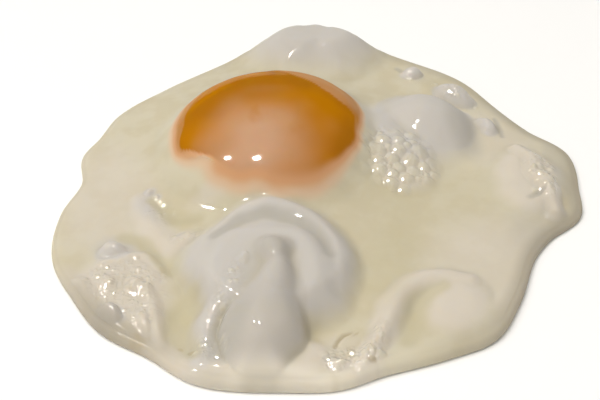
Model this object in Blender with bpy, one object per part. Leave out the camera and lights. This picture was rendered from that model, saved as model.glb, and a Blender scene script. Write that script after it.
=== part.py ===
"""A fried egg, sunny side up: a sheet of set white with blown domes and folds, and a yolk sunk into it.

The white is one height field over a smooth closed outline, rounded down to a flat underside. The yolk is a
squashed ball, and its own shape grown by a small gap is cut out of the white, so that it sits in a socket.
Sizes below are in millimetres, and bearings in degrees counter-clockwise from +X, about a point near the
middle of the white. The finished objects are in metres, +Z up, moved so that the origin is under the middle
of the outline. Seen from the -Y side, the yolk is at the back left.
"""

import math

import bmesh
import bpy
import numpy as np
from mathutils import Matrix

MM = 0.001

# Yolk: a squashed ball, a little longer one way, leaning a little, flat where it meets the white below it
YOLK_CENTRE = (-11.8, 11.3, 8.8)
YOLK_HALF = (21.3, 20.3, 8.3)
YOLK_TURN = 30.0
YOLK_LEAN = 3.0
YOLK_BOTTOM = 1.3
YOLK_SEGMENTS = 44
YOLK_RINGS = 20
GAP = 0.3

# White: the sheet's thickness, and the bank that climbs to the yolk's widest line
SHEET = 3.0
SHEET_FADE = 11.0
BANK_FALL = 1.14
BANK_FOOT = 1.2
COLLAR_RISE = 4.4
COLLAR_REACH = 8.0
BLEND = 1.0
RIM_SLOPE = 1.5
CELLS = 62
SOFTEN = 1.5

# Outline of the white as (bearing, reach from the origin), and the edge's thickness as (bearing, thickness)
OUTLINE = (
    (0, 57.6), (13, 58.2), (23, 53.4), (35, 52.0), (50, 54.0), (66, 54.4), (80, 57.6), (93, 61.0),
    (104, 57.6), (118, 53.0), (135, 52.6), (150, 54.4), (160, 53.9), (168, 55.0), (178, 53.0), (189, 57.0),
    (202, 60.6), (214, 61.2), (225, 62.2), (236, 61.0), (247, 62.6), (262, 60.2), (273, 59.2), (283, 56.6),
    (296, 56.6), (307, 57.4), (318, 54.0), (332, 50.4), (342, 51.8), (351, 57.2),
)
EDGE = (
    (0, 1.7), (40, 2.0), (95, 2.6), (140, 1.8), (190, 2.0), (230, 3.0), (270, 3.4), (310, 3.0), (340, 2.0),
)

# Swells, added to what lies under them: name, x, y, rise, width of the shoulder, width of the foot, and the
# outline's reach at even bearings from +X
SWELLS = (
    ("back blob", -0.4, 50.8, 6.6, 9.0, 3.5, (15.0, 10.6, 10.4, 11.0, 16.5, 13.6, 11.0, 13.0)),
    ("right dome foot", 22.4, 17.2, 2.4, 7.0, 2.5, (12.5, 10.2, 10.4, 12.0, 12.6, 12.5, 12.8, 12.0)),
    ("front dome", -9.8, -27.9, 4.6, 5.0, 1.4, (18.6, 17.4, 17.6, 17.8, 19.2, 18.8, 19.6, 19.0)),
    ("front plateau", -11.2, -31.6, 2.2, 4.6, 0.8, (14.6, 13.6, 12.2, 13.4, 14.4, 15.4, 16.0, 16.4)),
    ("right plate", 46.4, 0.6, 1.3, 4.5, 1.2, (7.6, 9.6, 12.2, 9.8, 8.4, 10.0, 11.6, 9.4)),
    ("hook plate", 26.6, -38.2, 1.4, 5.0, 1.8, (8.2, 8.8, 8.9, 8.2, 6.8, 9.0, 8.6, 7.4)),
    ("left field", -40.6, -35.6, 1.1, 5.0, 2.5, (9.5, 12.0, 14.0, 11.0, 11.0, 10.0, 11.0, 12.0)),
    ("bubble mound", 18.8, 4.0, 1.1, 4.0, 1.5, (7.8, 7.6, 8.4, 9.0, 7.4, 7.6, 8.2, 8.2)),
    ("front bank", -14.0, -53.0, 1.2, 4.0, 2.0, (16.0, 6.0, 4.5, 9.0, 12.0, 6.0, 5.0, 6.0)),
)

# Bulging lobes: name, x, y, height above the table, steepness of the side, blend with what lies around, and
# the outline's reach at even bearings (a small steepness gives a flat top with steep sides)
LOBES = (
    ("right dome", 24.2, 20.4, 9.5, 0.72, 2.0, (13.4, 12.0, 12.4, 13.2, 11.6, 10.6, 11.2, 12.8)),
    ("left hump", -43.2, -22.8, 5.2, 0.60, 1.0, (4.0, 3.2, 3.0, 2.8, 3.6, 4.8, 4.6, 4.6)),
    ("left lobe outer", -48.4, -33.0, 4.2, 0.90, 1.3, (3.6, 3.8, 4.2, 4.2, 3.4, 3.0, 3.8, 4.8)),
    ("left lobe middle", -43.0, -33.3, 5.0, 0.90, 1.2, (3.0, 3.4, 4.4, 4.6, 3.8, 3.4, 4.0, 4.0)),
    ("left lobe inner", -37.4, -34.0, 5.3, 0.90, 1.3, (3.2, 3.4, 4.4, 5.2, 3.6, 4.4, 5.0, 4.6)),
    ("left bubble", -42.4, -41.6, 5.8, 0.55, 0.7, (3.2, 3.0, 3.4, 3.6, 3.1, 3.2, 3.6, 4.0)),
    ("left lobe low", -35.4, -43.6, 4.6, 1.00, 1.4, (3.8, 4.6, 5.6, 5.4, 4.2, 3.6, 4.6, 5.0)),
    ("back bubble", 23.0, 41.6, 5.2, 0.80, 0.8, (3.0, 2.6, 2.6, 2.8, 3.2, 3.0, 2.8, 3.0)),
    ("back lobe", 32.3, 32.6, 6.8, 0.75, 1.2, (5.0, 4.4, 4.8, 6.0, 5.4, 4.6, 5.0, 6.8)),
    ("back pip", 39.0, 20.8, 5.2, 0.75, 0.8, (2.4, 2.5, 3.2, 3.8, 3.0, 2.6, 3.6, 3.4)),
    ("front knob", 3.4, -54.6, 4.6, 0.50, 0.6, (4.6, 2.8, 2.6, 3.2, 4.8, 3.0, 2.6, 3.0)),
)

# Ridges: name, steepness, blend, and points of (x, y, height above the table, half width)
RIDGES = (
    ("finger", 0.44, 1.0, (
        (-9.4, -29.4, 12.0, 4.6), (-9.0, -33.4, 12.2, 5.2), (-9.6, -38.6, 12.3, 6.6),
        (-10.8, -43.6, 12.2, 8.2), (-11.4, -48.2, 11.6, 8.9), (-11.6, -51.0, 9.6, 8.9),
    )),
    ("hook", 1.1, 1.8, (
        (8.1, -54.6, 4.0, 3.8), (9.6, -51.3, 4.6, 4.4), (11.6, -46.6, 4.9, 4.8), (13.7, -41.0, 5.0, 4.9),
        (16.2, -35.8, 5.0, 4.7), (19.6, -32.4, 5.0, 4.3), (24.4, -31.0, 4.8, 4.1),
        (30.0, -31.6, 4.4, 3.8),
    )),
    ("right crest", 0.8, 1.4, (
        (45.0, 12.0, 4.6, 2.8), (47.8, 7.0, 5.8, 3.8), (46.8, 3.2, 5.2, 3.6), (48.8, -0.6, 6.0, 4.0),
        (50.2, -5.0, 5.6, 3.4), (51.0, -10.0, 4.6, 3.0),
    )),
    ("yolk-side fold", 1.3, 1.8, (
        (-38.6, -6.8, 3.5, 4.6), (-36.8, -12.0, 3.9, 6.0), (-34.6, -17.0, 3.9, 6.0),
        (-31.0, -20.8, 3.9, 5.0), (-27.4, -19.2, 4.2, 3.0),
    )),
    ("finger web", 1.3, 1.8, (
        (-15.4, -30.4, 10.0, 2.8), (-18.0, -35.4, 9.0, 3.8), (-20.4, -40.6, 7.2, 4.6),
        (-22.0, -46.4, 5.4, 5.2), (-22.8, -52.4, 4.0, 4.6),
    )),
    ("left string", 1.1, 1.4, (
        (-35.6, -35.0, 5.0, 2.8), (-33.6, -39.6, 4.5, 3.4), (-32.2, -43.6, 4.0, 3.4),
        (-31.4, -48.0, 3.4, 2.8),
    )),
    ("left brow", 1.1, 1.6, (
        (-44.6, -27.6, 3.8, 2.8), (-40.4, -25.4, 4.2, 3.2), (-36.6, -24.8, 4.2, 3.4),
        (-33.0, -27.6, 3.8, 3.0),
    )),
)

# Small swells on top of the lobes and ridges: name, x, y, rise, shoulder, foot, reaches
PUFFS = (
    ("finger knob", -9.2, -29.0, 0.9, 2.0, 0.4, (4.3, 4.1, 3.8, 4.0, 4.4, 4.5, 4.2, 4.2)),
    ("finger joint", -8.8, -37.8, 0.7, 2.6, 0.5, (4.8, 4.7, 4.8, 4.8, 5.2, 5.6, 5.2, 4.8)),
    ("finger pad", -10.2, -48.6, 0.5, 3.0, 0.4, (6.0, 6.0, 6.4, 6.2, 6.4, 6.4, 6.0, 6.0)),
)

# Grooves: name, and points of (x, y, depth, half width)
GROOVES = (
    ("front dome groove", (
        (-26.4, -25.0, 0.2, 1.8), (-22.8, -20.6, 0.7, 2.0), (-17.0, -17.4, 1.0, 2.0),
        (-10.6, -16.1, 1.0, 2.0), (-4.8, -18.0, 0.9, 2.1), (0.2, -22.6, 0.6, 2.4),
        (2.4, -28.0, 0.2, 2.4),
    )),
    ("hook groove", (
        (24.6, -34.4, 0.1, 1.8), (20.8, -36.4, 0.3, 2.4), (18.9, -39.4, 0.4, 2.8),
        (18.0, -43.6, 0.3, 2.8), (17.4, -48.0, 0.2, 2.4),
    )),
    ("yolk-side hollow", (
        (-36.0, -7.8, 0.2, 1.6), (-32.6, -10.8, 0.7, 2.3), (-29.4, -13.2, 0.8, 2.4),
        (-26.6, -13.8, 0.5, 2.0),
    )),
    ("left olive valley", (
        (-26.6, -36.4, 0.3, 2.4), (-27.6, -41.6, 0.9, 3.2), (-27.2, -47.2, 0.9, 3.6),
        (-24.6, -51.4, 0.6, 2.4),
    )),
    ("hump shadow", (
        (-41.6, -17.6, 0.2, 1.6), (-37.6, -19.4, 0.4, 2.0), (-34.4, -24.4, 0.5, 1.9),
        (-30.8, -28.4, 0.5, 2.2),
    )),
)


def closed_curve(points, bearing):
    """The value at each bearing of a smooth closed curve through (bearing, value) points."""
    at = np.array([point[0] for point in points], float)
    value = np.array([point[1] for point in points], float)
    count = len(at)
    bearing = np.mod(bearing, 360.0)
    low = (np.searchsorted(at, bearing, side="right") - 1) % count
    high = (low + 1) % count
    span = np.mod(at[high] - at[low], 360.0)
    t = np.mod(bearing - at[low], 360.0) / span
    around = np.mod(np.roll(at, -1) - np.roll(at, 1), 360.0)
    slope = (np.roll(value, -1) - np.roll(value, 1)) / around
    start = value[low] * (2 * t**3 - 3 * t**2 + 1) + slope[low] * span * (t**3 - 2 * t**2 + t)
    end = value[high] * (3 * t**2 - 2 * t**3) + slope[high] * span * (t**3 - t**2)
    return start + end


def smooth_max(a, b, blend=BLEND):
    """The larger of two heights, with the crease between them rounded over the given height."""
    close = np.maximum(blend - np.abs(a - b), 0.0) / blend
    return np.maximum(a, b) + close * close * blend / 4


def ease(value, low, high):
    """Zero below low, one above high, and an eased rise between them."""
    t = np.clip((value - low) / (high - low), 0.0, 1.0)
    return t * t * (3 - 2 * t)


def oval(x, y, cx, cy, half_long, half_wide, turn):
    """How far out each point is in an oval, as a share: 0 at its centre and 1 on its line."""
    c = math.cos(math.radians(turn))
    s = math.sin(math.radians(turn))
    along = ((x - cx) * c + (y - cy) * s) / half_long
    across = ((y - cy) * c - (x - cx) * s) / half_wide
    return np.hypot(along, across)


def inside_outline(x, y, cx, cy, reaches):
    """How many millimetres each place lies inside an outline of reaches, and how far out as a share."""
    step = 360 / len(reaches)
    bearing = np.degrees(np.arctan2(y - cy, x - cx))
    reach = closed_curve([(step * index, value) for index, value in enumerate(reaches)], bearing)
    away = np.hypot(x - cx, y - cy)
    return reach - away, away / reach


def smooth_line(points, steps=5):
    """Rows along a smooth open curve through the given rows of numbers."""
    rows = np.array([points[0], *points, points[-1]], float)
    made = []
    for a, b, c, d in zip(rows, rows[1:], rows[2:], rows[3:]):
        for t in np.linspace(0, 1, steps, endpoint=False):
            bend = (c - a) * t + (2 * a - 5 * b + 4 * c - d) * t**2 + (3 * b - a - 3 * c + d) * t**3
            made.append(b + bend / 2)
    return [*made, rows[-1]]


def along_line(x, y, points, profile, steepness):
    """The height along a smooth line, by a profile over the half width."""
    relief = np.zeros(np.shape(x))
    line = smooth_line(points)
    for (ax, ay, a_height, a_width), (bx, by, b_height, b_width) in zip(line, line[1:]):
        length2 = (bx - ax) ** 2 + (by - ay) ** 2
        t = np.clip(((x - ax) * (bx - ax) + (y - ay) * (by - ay)) / length2, 0.0, 1.0)
        away = np.hypot(x - ax - t * (bx - ax), y - ay - t * (by - ay))
        away = away / (a_width + t * (b_width - a_width))
        relief = np.maximum(relief, (a_height + t * (b_height - a_height)) * profile(away, steepness))
    return relief


def bulge(out, steepness):
    """The cross-section of a lobe or a ridge, from 1 at its middle to 0 at its line."""
    return np.clip(1 - out**2, 0.0, 1.0) ** steepness


def furrow(out, steepness):
    """The cross-section of a groove, which has no sharp line."""
    return np.exp(-steepness * out**2)


def yolk_reach(x, y):
    """The distance from the yolk's middle, and that of its widest line at the same bearing."""
    share = oval(x, y, YOLK_CENTRE[0], YOLK_CENTRE[1], YOLK_HALF[0], YOLK_HALF[1], YOLK_TURN)
    away = np.hypot(x - YOLK_CENTRE[0], y - YOLK_CENTRE[1])
    return away, away / np.maximum(share, 1e-6)


def white_height(x, y):
    """The height of the white above the table at each point."""
    bearing = np.degrees(np.arctan2(y, x))
    edge = closed_curve(EDGE, bearing)
    inward = np.maximum(closed_curve(OUTLINE, bearing) - np.hypot(x, y), 0.0)
    fade = np.clip(1 - inward / SHEET_FADE, 0.0, 1.0)
    z = SHEET + (edge - SHEET) * fade**2
    away, reach = yolk_reach(x, y)
    beyond = np.maximum(away - reach, 0.0)
    z = z + COLLAR_RISE * np.exp(-((beyond / COLLAR_REACH) ** 1.3))
    for _, cx, cy, rise, shoulder, foot, reaches in SWELLS:
        inside, _ = inside_outline(x, y, cx, cy, reaches)
        z = z + rise * ease(inside, -foot, shoulder)
    for _, cx, cy, height, steepness, blend, reaches in LOBES:
        _, out = inside_outline(x, y, cx, cy, reaches)
        z = smooth_max(z, height * bulge(out, steepness), blend)
    for _, steepness, blend, points in RIDGES:
        z = smooth_max(z, along_line(x, y, points, bulge, steepness), blend)
    for _, cx, cy, rise, shoulder, foot, reaches in PUFFS:
        inside, _ = inside_outline(x, y, cx, cy, reaches)
        z = z + rise * ease(inside, -foot, shoulder)
    widest = YOLK_CENTRE[2] + (x - YOLK_CENTRE[0]) * math.tan(math.radians(YOLK_LEAN))
    z = smooth_max(z, widest - BANK_FALL * beyond, BANK_FOOT)
    for _, points in GROOVES:
        z = z - along_line(x, y, points, furrow, 1.0)
    ceiling = edge + RIM_SLOPE * inward
    return -smooth_max(-z, -ceiling)


def outline_middle():
    """The middle of the outline's extent each way, in millimetres."""
    bearing = np.arange(0, 360, 0.25)
    reach = closed_curve(OUTLINE, bearing)
    x = reach * np.cos(np.radians(bearing))
    y = reach * np.sin(np.radians(bearing))
    return (x.max() + x.min()) / 2, (y.max() + y.min()) / 2


def soft_height(x, y):
    """The height of the white averaged over a small neighbourhood, so that this mesh has no spikes."""
    total = 2 * white_height(x, y)
    for step in range(8):
        angle = math.radians(45 * step)
        away = SOFTEN * (0.6 if step % 2 else 1.0)
        total = total + white_height(x + away * math.cos(angle), y + away * math.sin(angle))
    return total / 10


def disc_place(a, b):
    """Points of a square (-1 to 1 each way) moved to the unit disc, as (share of the radius, bearing)."""
    x = a * np.sqrt(1 - b**2 / 2)
    y = b * np.sqrt(1 - a**2 / 2)
    return np.hypot(x, y), np.arctan2(y, x)


def material(name, colour, roughness, subsurface):
    made = bpy.data.materials.new(name)
    made.use_nodes = True
    shader = made.node_tree.nodes["Principled BSDF"]
    shader.inputs["Base Color"].default_value = (*colour, 1.0)
    shader.inputs["Roughness"].default_value = roughness
    shader.inputs["Metallic"].default_value = 0.0
    shader.inputs["Subsurface Weight"].default_value = subsurface
    shader.inputs["Subsurface Scale"].default_value = 2 * MM
    return made


def add_object(name, bm, look):
    bmesh.ops.recalc_face_normals(bm, faces=bm.faces)
    for face in bm.faces:
        face.smooth = True
    mesh = bpy.data.meshes.new(name)
    bm.to_mesh(mesh)
    bm.free()
    mesh.materials.append(look)
    obj = bpy.data.objects.new(name, mesh)
    middle_x, middle_y = outline_middle()
    obj.location = (-middle_x * MM, -middle_y * MM, 0.0)
    bpy.context.scene.collection.objects.link(obj)
    return obj


def yolk_body(grow):
    """The yolk's squashed ball, grown all round, with its underside cut flat."""
    bm = bmesh.new()
    bmesh.ops.create_uvsphere(bm, u_segments=YOLK_SEGMENTS, v_segments=YOLK_RINGS, radius=1.0)
    size = Matrix.Diagonal([(half + grow) * MM for half in YOLK_HALF] + [1.0])
    turn = Matrix.Rotation(math.radians(YOLK_TURN), 4, "Z")
    lean = Matrix.Rotation(-math.radians(YOLK_LEAN), 4, "Y")
    place = Matrix.Translation([c * MM for c in YOLK_CENTRE])
    bm.transform(place @ lean @ turn @ size)
    cut = bmesh.ops.bisect_plane(
        bm,
        geom=bm.verts[:] + bm.edges[:] + bm.faces[:],
        plane_co=(0, 0, (YOLK_BOTTOM - grow) * MM),
        plane_no=(0, 0, -1),
        clear_outer=True,
    )
    rim = [item for item in cut["geom_cut"] if isinstance(item, bmesh.types.BMEdge)]
    bmesh.ops.edgeloop_fill(bm, edges=rim)
    return bm


def white_body():
    """The white as a grid fitted to the outline, its rim rolled under and its underside filled flat."""
    bm = bmesh.new()
    bmesh.ops.create_grid(bm, x_segments=CELLS, y_segments=CELLS, size=1.0)
    square = np.array([vert.co[:2] for vert in bm.verts])
    share, angles = disc_place(square[:, 0], square[:, 1])
    reach = closed_curve(OUTLINE, np.degrees(angles)) - 0.45 * closed_curve(EDGE, np.degrees(angles))
    x = share * reach * np.cos(angles)
    y = share * reach * np.sin(angles)
    for index, vert in enumerate(bm.verts):
        vert.co = (x[index] * MM, y[index] * MM, 0.0)
    # Split flat, along the shorter diagonals, then raised
    bmesh.ops.triangulate(bm, faces=bm.faces[:], quad_method="SHORT_EDGE")
    z = soft_height(x, y)
    bearing_of = {}
    for index, vert in enumerate(bm.verts):
        vert.co.z = z[index] * MM
        bearing_of[vert] = angles[index]
    # Each step of the rolled rim: how far inside the outline, and how high, as shares of the thickness
    rim = [edge for edge in bm.edges if edge.is_boundary]
    for inset, share in ((0.10, 0.74), (0.0, 0.42), (0.22, 0.0)):
        rim_verts = {vert for edge in rim for vert in edge.verts}
        before = {tuple(vert.co): bearing_of[vert] for vert in rim_verts}
        made = bmesh.ops.extrude_edge_only(bm, edges=rim)["geom"]
        for vert in [item for item in made if isinstance(item, bmesh.types.BMVert)]:
            angle = before[tuple(vert.co)]
            bearing_of[vert] = angle
            reach = float(closed_curve(OUTLINE, np.array(math.degrees(angle))))
            edge = float(closed_curve(EDGE, np.array(math.degrees(angle))))
            out = reach - inset * edge
            vert.co = (out * math.cos(angle) * MM, out * math.sin(angle) * MM, share * edge * MM)
        rim = [item for item in made if isinstance(item, bmesh.types.BMEdge)]
    bmesh.ops.edgeloop_fill(bm, edges=rim)
    return bm


for old in list(bpy.data.objects):
    bpy.data.objects.remove(old, do_unlink=True)

white_look = material("set_white", (0.62, 0.57, 0.45), 0.28, 0.35)
yolk_look = material("yolk", (0.50, 0.19, 0.03), 0.22, 0.25)

white = add_object("egg_white", white_body(), white_look)
yolk = add_object("yolk", yolk_body(0.0), yolk_look)

socket = add_object("yolk_socket_cutter", yolk_body(GAP), white_look)
socket.hide_render = True
socket.display_type = "WIRE"
cut = white.modifiers.new("yolk socket", "BOOLEAN")
cut.operation = "DIFFERENCE"
cut.solver = "EXACT"
cut.object = socket
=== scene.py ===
# %% [markdown]
# A fried egg, sunny side up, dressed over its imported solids.
#
# The real thing is one sheet of albumen that set in a hot pan. Where it lay thin it stayed smooth, yellowish
# and a little see-through. Where steam lifted it, it blew up into thick, greyish white domes, lobes and
# bubbles. The yolk sits in the sheet under a thin film of white that hazes its middle and swallows its foot.
#
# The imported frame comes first: it has the two solids, their box and their material slots.

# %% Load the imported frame
import math

import bmesh
import bpy
import numpy as np
from mathutils import Matrix, Vector


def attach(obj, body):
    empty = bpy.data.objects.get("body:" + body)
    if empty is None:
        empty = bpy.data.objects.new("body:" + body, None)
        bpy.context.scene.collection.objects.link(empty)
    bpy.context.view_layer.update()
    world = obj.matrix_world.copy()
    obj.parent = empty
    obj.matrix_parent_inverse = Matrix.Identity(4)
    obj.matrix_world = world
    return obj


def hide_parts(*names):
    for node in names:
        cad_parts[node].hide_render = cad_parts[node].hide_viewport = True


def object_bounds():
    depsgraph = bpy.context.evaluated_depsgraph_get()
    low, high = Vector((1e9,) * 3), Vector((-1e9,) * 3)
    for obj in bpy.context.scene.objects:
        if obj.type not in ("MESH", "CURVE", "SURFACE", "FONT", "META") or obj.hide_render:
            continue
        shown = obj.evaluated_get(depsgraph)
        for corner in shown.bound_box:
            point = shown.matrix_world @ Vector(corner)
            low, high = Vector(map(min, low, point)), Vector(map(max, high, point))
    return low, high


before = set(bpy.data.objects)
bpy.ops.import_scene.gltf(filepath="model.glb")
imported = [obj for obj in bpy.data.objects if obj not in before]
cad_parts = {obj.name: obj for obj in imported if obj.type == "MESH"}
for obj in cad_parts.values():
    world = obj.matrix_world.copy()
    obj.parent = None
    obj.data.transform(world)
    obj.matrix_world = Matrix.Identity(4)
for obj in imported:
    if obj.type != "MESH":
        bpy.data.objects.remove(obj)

cad_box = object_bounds()
box_mm = [[round(1000 * c, 1) for c in corner] for corner in cad_box]
print("solids:", sorted(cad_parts), "box in mm:", box_mm)

# %% [markdown]
# Every size below is in millimetres and every bearing in degrees, counter-clockwise from +X, as a cook would
# measure the egg on a board. One helper at the end turns a finished shape into metres and moves it so that
# the outline's middle is at the frame's origin, which is how the solids were placed.
#
# The yolk is a squashed ball that is turned a little and leans up to the right. The sheet thins towards the
# edge, and climbs in a collar to just below the yolk's widest line.

# %% Sizes of the yolk and the sheet
MM = 0.001
YOLK_CENTRE = (-11.8, 11.3, 8.8)
YOLK_HALF = (21.3, 20.3, 8.295)
YOLK_TURN = 30.0
YOLK_LEAN = 3.0
YOLK_BOTTOM = 1.3
SHEET = 3.0
SHEET_FADE = 11.0
COLLAR_BELOW = 1.0
COLLAR_REACH = 8.0
print("the yolk is", 2 * YOLK_HALF[0], "by", 2 * YOLK_HALF[1], "mm, and the sheet is", SHEET, "mm thick")

# %% [markdown]
# The outline is a wandering closed line. Its reach from the middle is given at thirty bearings, read off the
# photo, and a smooth curve runs through them. The edge's thickness is a second such curve, thicker at the
# front, where the white ran together.

# %% The outline and the edge's thickness as smooth closed curves
OUTLINE = (
    (0, 57.6), (13, 58.2), (23, 53.4), (35, 52.0), (50, 54.0), (66, 54.4), (80, 57.6), (93, 61.0),
    (104, 57.6), (118, 53.0), (135, 52.6), (150, 54.4), (160, 53.9), (168, 55.0), (178, 53.0), (189, 57.0),
    (202, 60.6), (214, 61.2), (225, 62.2), (236, 61.0), (247, 62.6), (262, 60.2), (273, 59.2), (283, 56.6),
    (296, 56.6), (307, 57.4), (318, 54.0), (332, 50.4), (342, 51.8), (351, 57.2),
)
EDGE = (
    (0, 1.7), (40, 2.0), (95, 2.6), (140, 1.8), (190, 2.0), (230, 3.0), (270, 3.4), (310, 3.0), (340, 2.0),
)


def closed_curve(points, bearing):
    """The value at each bearing of a smooth closed curve through (bearing, value) points."""
    at = np.array([point[0] for point in points], float)
    value = np.array([point[1] for point in points], float)
    count = len(at)
    bearing = np.mod(bearing, 360.0)
    low = (np.searchsorted(at, bearing, side="right") - 1) % count
    high = (low + 1) % count
    span = np.mod(at[high] - at[low], 360.0)
    t = np.mod(bearing - at[low], 360.0) / span
    around = np.mod(np.roll(at, -1) - np.roll(at, 1), 360.0)
    slope = (np.roll(value, -1) - np.roll(value, 1)) / around
    start = value[low] * (2 * t**3 - 3 * t**2 + 1) + slope[low] * span * (t**3 - 2 * t**2 + t)
    end = value[high] * (3 * t**2 - 2 * t**3) + slope[high] * span * (t**3 - t**2)
    return start + end


def outline_middle():
    """The middle of the outline's extent each way."""
    bearing = np.arange(0, 360, 0.25)
    reach = closed_curve(OUTLINE, bearing)
    x = reach * np.cos(np.radians(bearing))
    y = reach * np.sin(np.radians(bearing))
    return (x.max() + x.min()) / 2, (y.max() + y.min()) / 2


MIDDLE_X, MIDDLE_Y = outline_middle()
print("outline's middle in mm:", round(MIDDLE_X, 2), round(MIDDLE_Y, 2))

# %% [markdown]
# Set egg white has no straight lines. Smooth noise, a lattice of random numbers with an eased blend between
# them, bends every lobe a little and gives the sheet its slow waves. The lattice is seeded, so that the egg
# comes out the same each time. Where two forms meet, a smooth maximum rounds the crease between them.

# %% Smooth noise and small blending helpers
LATTICE = 97
LATTICE_SHIFT_X = 41.3
LATTICE_SHIFT_Y = 37.9
BLEND = 0.8


def noise(x, y, size, seed):
    """Smooth random values from -1 to 1 that change over about the given size."""
    lattice = np.random.default_rng(seed).uniform(-1, 1, (LATTICE, LATTICE))
    u = x / size + LATTICE_SHIFT_X
    v = y / size + LATTICE_SHIFT_Y
    i = np.floor(u).astype(int)
    j = np.floor(v).astype(int)
    fu = u - i
    fv = v - j
    fu = fu**3 * (fu * (fu * 6 - 15) + 10)
    fv = fv**3 * (fv * (fv * 6 - 15) + 10)
    a = lattice[i % LATTICE, j % LATTICE]
    b = lattice[(i + 1) % LATTICE, j % LATTICE]
    c = lattice[i % LATTICE, (j + 1) % LATTICE]
    d = lattice[(i + 1) % LATTICE, (j + 1) % LATTICE]
    return (a * (1 - fu) + b * fu) * (1 - fv) + (c * (1 - fu) + d * fu) * fv


def smooth_max(a, b, blend=BLEND):
    """The larger of two heights, with the crease between them rounded over the given height."""
    close = np.maximum(blend - np.abs(a - b), 0.0) / blend
    return np.maximum(a, b) + close * close * blend / 4


def ease(value, low, high):
    """Zero below low, one above high, and an eased rise between them."""
    t = np.clip((value - low) / (high - low), 0.0, 1.0)
    return t * t * (3 - 2 * t)


def oval(x, y, cx, cy, half_long, half_wide, turn):
    """How far out each point is in an oval, as a share: 0 at its centre and 1 on its line."""
    c = math.cos(math.radians(turn))
    s = math.sin(math.radians(turn))
    along = ((x - cx) * c + (y - cy) * s) / half_long
    across = ((y - cy) * c - (x - cx) * s) / half_wide
    return np.hypot(along, across)


print("two equal heights of 1 mm blend to", round(float(smooth_max(1.0, 1.0)), 2), "mm")

# %% [markdown]
# The white is one height field: at each place over the board it has one height. Its forms are named below,
# each with the tint that the albumen has there. Each has an outline of eight reaches, one every 45 degrees
# counter-clockwise from +X. A swell is a soft rise that is added to what lies under it. A lobe is a bulging
# dome that meets its neighbours in a crease. A small steepness gives it a flat top and steep sides.

# %% The swells and lobes of the white
# name, tint, x, y, rise, width of its shoulder, width of its foot, reaches
SWELLS = (
    ("back blob", "cool", -0.4, 50.8, 6.6, 9.0, 3.5, (15.0, 10.6, 10.4, 11.0, 16.5, 13.6, 11.0, 13.0)),
    ("right dome foot", "cool", 22.4, 17.2, 2.4, 7.0, 2.5, (12.5, 10.2, 10.4, 12.0, 12.6, 12.5, 12.8, 12.0)),
    ("front dome", "cool", -9.8, -27.9, 4.6, 5.0, 1.4, (18.6, 17.4, 17.6, 17.8, 19.2, 18.8, 19.6, 19.0)),
    ("front plateau", "cool", -11.2, -31.6, 2.2, 4.6, 0.8, (14.6, 13.6, 12.2, 13.4, 14.4, 15.4, 16.0, 16.4)),
    ("right plate", "warm", 46.4, 0.6, 1.3, 4.5, 1.2, (7.6, 9.6, 12.2, 9.8, 8.4, 10.0, 11.6, 9.4)),
    ("hook plate", "warm", 26.6, -38.2, 1.4, 5.0, 1.8, (8.2, 8.8, 8.9, 8.2, 6.8, 9.0, 8.6, 7.4)),
    ("left field", "warm", -40.6, -35.6, 1.1, 5.0, 2.5, (9.5, 12.0, 14.0, 11.0, 11.0, 10.0, 11.0, 12.0)),
    ("bubble mound", "warm", 18.8, 4.0, 1.1, 4.0, 1.5, (7.8, 7.6, 8.4, 9.0, 7.4, 7.6, 8.2, 8.2)),
    ("front bank", "warm", -14.0, -53.0, 1.2, 4.0, 2.0, (16.0, 6.0, 4.5, 9.0, 12.0, 6.0, 5.0, 6.0)),
)
# name, tint, x, y, height above the table, steepness, blend, reaches
LOBES = (
    ("right dome", "cool", 24.2, 20.4, 9.5, 0.72, 2.0, (13.4, 12.0, 12.4, 13.2, 11.6, 10.6, 11.2, 12.8)),
    ("left hump", "cool", -43.2, -22.2, 5.6, 0.80, 1.0, (4.0, 3.2, 3.0, 2.8, 3.6, 4.8, 4.6, 4.6)),
    ("left lobe outer", "warm", -48.4, -33.0, 4.2, 0.90, 1.3, (3.6, 3.8, 4.2, 4.2, 3.4, 3.0, 3.8, 4.8)),
    ("left lobe middle", "warm", -43.0, -33.3, 5.0, 0.90, 1.2, (3.0, 3.4, 4.4, 4.6, 3.8, 3.4, 4.0, 4.0)),
    ("left lobe inner", "warm", -37.4, -34.0, 5.3, 0.90, 1.3, (3.2, 3.4, 4.4, 5.2, 3.6, 4.4, 5.0, 4.6)),
    ("left bubble", "cool", -42.4, -41.6, 5.8, 0.55, 0.7, (3.2, 3.0, 3.4, 3.6, 3.1, 3.2, 3.6, 4.0)),
    ("left lobe low", "warm", -35.4, -43.6, 4.6, 1.00, 1.4, (3.8, 4.6, 5.6, 5.4, 4.2, 3.6, 4.6, 5.0)),
    ("back bubble", "cool", 23.0, 41.6, 4.9, 0.50, 0.7, (3.0, 2.6, 2.6, 2.8, 3.2, 3.0, 2.8, 3.0)),
    ("back lobe", "cool", 32.3, 32.6, 6.2, 0.52, 1.0, (5.0, 4.4, 4.8, 6.0, 5.4, 4.6, 5.0, 6.8)),
    ("back pip", "cool", 39.0, 20.8, 4.9, 0.50, 0.7, (2.4, 2.5, 3.2, 3.8, 3.0, 2.6, 3.6, 3.4)),
    ("front knob", "warm", 3.4, -54.6, 4.2, 1.00, 1.2, (4.6, 2.8, 2.6, 3.2, 4.8, 3.0, 2.6, 3.0)),
    ("yolk-side bubble", "cool", -37.2, -4.6, 5.0, 0.50, 0.5, (1.9, 1.8, 1.9, 2.0, 1.9, 1.8, 2.0, 2.0)),
    ("yolk-side pip", "cool", -35.2, -6.4, 4.7, 0.50, 0.5, (1.4, 1.3, 1.2, 1.4, 1.4, 1.3, 1.4, 1.3)),
)
print(len(SWELLS), "swells and", len(LOBES), "lobes, up to", max(row[4] for row in LOBES), "mm high")
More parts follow.
